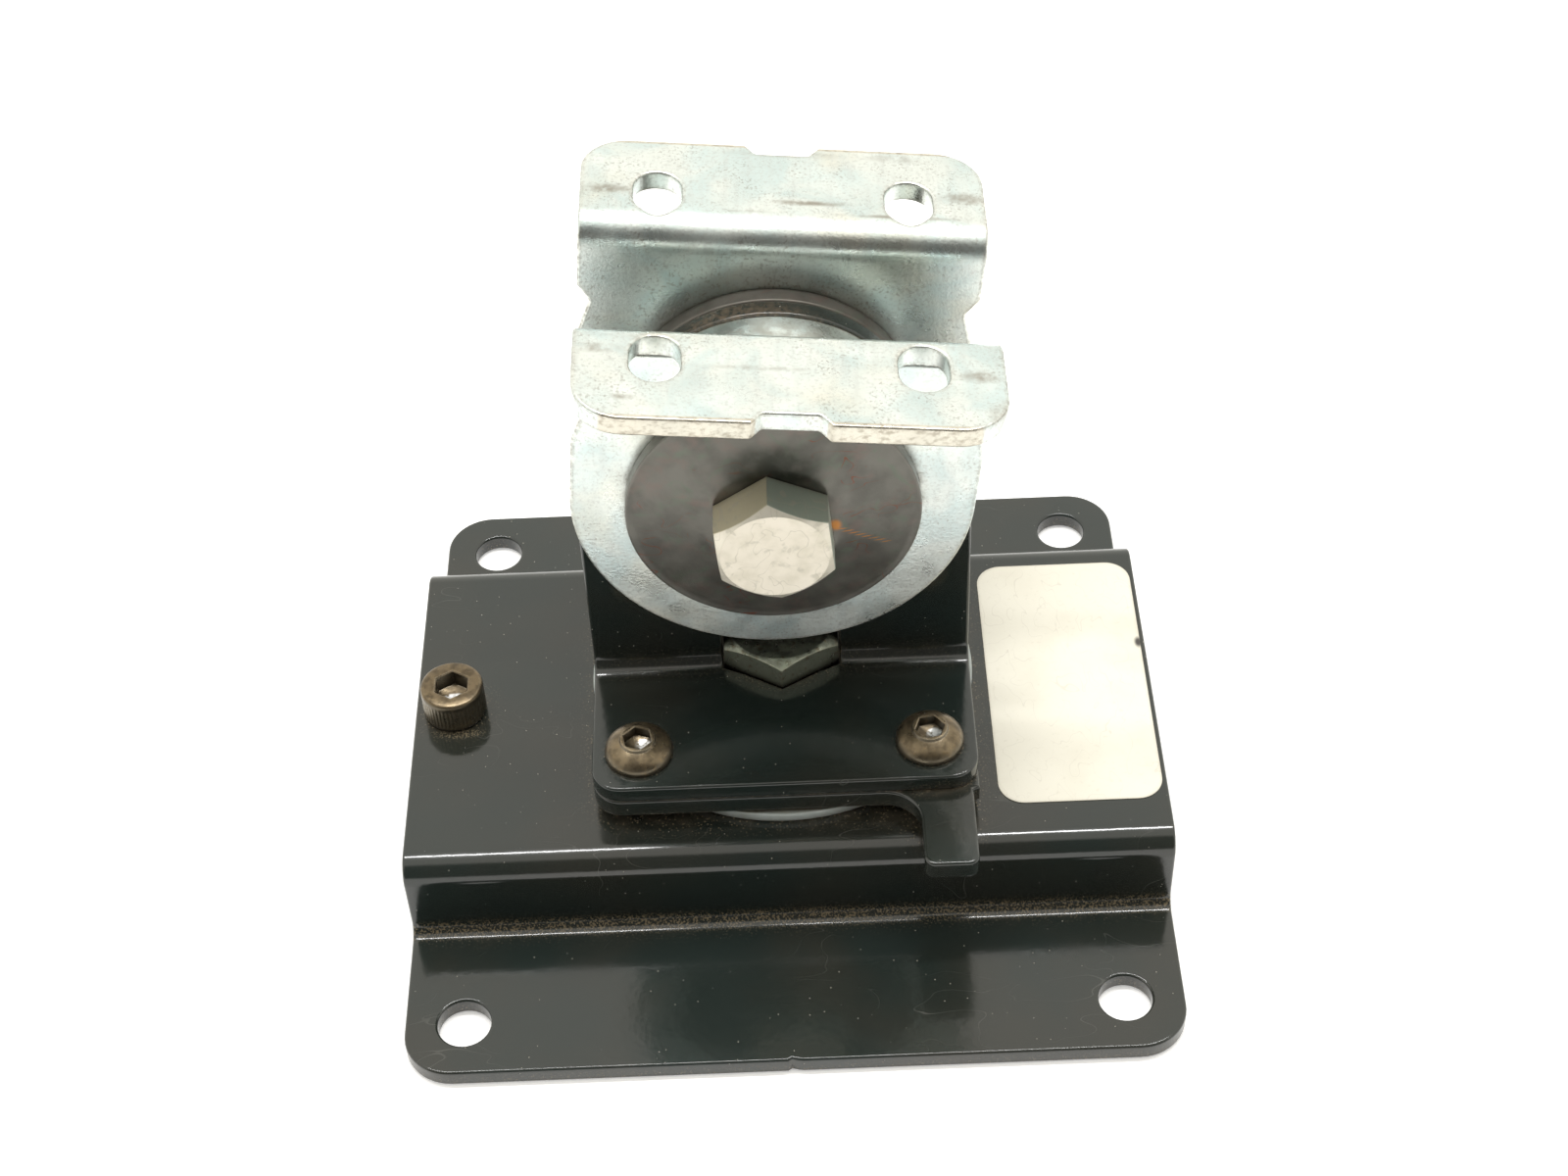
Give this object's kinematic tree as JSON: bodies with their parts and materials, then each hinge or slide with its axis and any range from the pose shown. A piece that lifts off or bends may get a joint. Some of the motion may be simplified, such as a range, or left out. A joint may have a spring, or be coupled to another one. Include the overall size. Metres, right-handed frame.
{
  "type": "swivel and tilt display bracket",
  "caption": "Wall bracket head with a stepped base plate, a swivel on a vertical bolt and a tilting clamp head with two slotted flanges.",
  "frame": {"origin": "centre of the 100 x 100 mm hole square, on the underside of the base plate", "axes": "+Z out of the mounting surface; +X along the raised ridge, towards the blank label; +Y from the swivel leg towards the tilt nut, along the tilt bolt"},
  "size_m": [0.118, 0.118, 0.1013],
  "materials": {
    "black_coat": "semi-gloss powder coat",
    "zinc_plate": "satin zinc plating",
    "dark_steel": "dark oiled steel with rust tints",
    "black_oxide": "worn black oxide",
    "bolt_steel": "matt pale plating",
    "pale_plastic": "matt low-friction plastic",
    "label_film": "matt film"
  },
  "bodies": {
    "base": {"base_plate": "black_coat", "label": "label_film", "stop_screw": "black_oxide", "stop_nut": "zinc_plate", "swivel_washer_upper": "pale_plastic"},
    "swivel": {"swivel_shim": "dark_steel", "stop_plate": "black_coat", "yoke_front": "black_coat", "yoke_rear": "black_coat", "yoke_screws": "black_oxide", "pivot_bolt": "black_oxide", "swivel_washer_lower": "pale_plastic", "pressure_washer": "zinc_plate", "swivel_springs": "dark_steel", "pivot_nut": "zinc_plate", "tilt_spacer": "zinc_plate", "front_friction_washer": "dark_steel", "rear_friction_washer": "dark_steel"},
    "head": {"front_cheek": "zinc_plate", "rear_cheek": "zinc_plate", "front_cap_washer": "dark_steel", "rear_cap_washer": "dark_steel", "tilt_bolt": "bolt_steel", "tilt_springs": "dark_steel", "tilt_nut": "bolt_steel"}
  },
  "joints": [
    {"name": "swivel_turn", "type": "hinge", "parent": "base", "child": "swivel", "pos_m": [0, 0.0048, 0.018], "axis": [0, 0, 1], "range_deg": [-106, 235]},
    {"name": "head_tilt", "type": "hinge", "parent": "swivel", "child": "head", "pos_m": [0, 0.0071, 0.067], "axis": [0, 1, 0], "range_deg": [-106, 94]}
  ]
}
